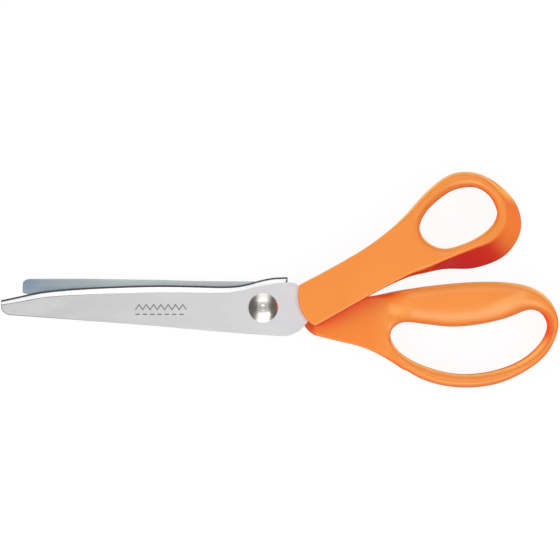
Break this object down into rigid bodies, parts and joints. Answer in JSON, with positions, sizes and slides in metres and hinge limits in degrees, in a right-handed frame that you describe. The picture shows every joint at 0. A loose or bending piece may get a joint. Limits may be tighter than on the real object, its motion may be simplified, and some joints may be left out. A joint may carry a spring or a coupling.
{
  "type": "pinking shears",
  "caption": "Pinking shears: overlapping steel blades with bent lips that carry meshing zigzag teeth, a domed pivot screw, and moulded offset handles with a thumb loop and a longer finger loop.",
  "frame": {"origin": "where the pivot's axis meets the back face of the nut, which is also the plane the closed shears rest on", "axes": "+X from the blade tips towards the handle loops, +Y across the blades towards the thumb loop, +Z along the pivot axis from the nut to the domed screw head"},
  "size_m": [0.2291, 0.0887, 0.015],
  "materials": {
    "blade_steel": "fine brushing along the blade",
    "screw_steel": "circular brushed",
    "spring_steel": "satin",
    "orange_plastic": "semi-gloss moulded",
    "bearing_nylon": "matte"
  },
  "bodies": {
    "rear_half": {"rear_blade": "blade_steel", "finger_handle": "orange_plastic", "pivot_bushing": "bearing_nylon", "spacer_washer": "bearing_nylon", "thrust_washer": "spring_steel"},
    "front_half": {"front_blade": "blade_steel", "thumb_handle": "orange_plastic", "pivot_screw": "screw_steel", "pivot_nut": "screw_steel", "spring_washer": "spring_steel"}
  },
  "joints": [
    {"name": "blade_pivot", "type": "hinge", "parent": "rear_half", "child": "front_half", "pos_m": [0, 0, 0.007], "axis": [0, 0, 1], "range_deg": [0, 60]}
  ]
}
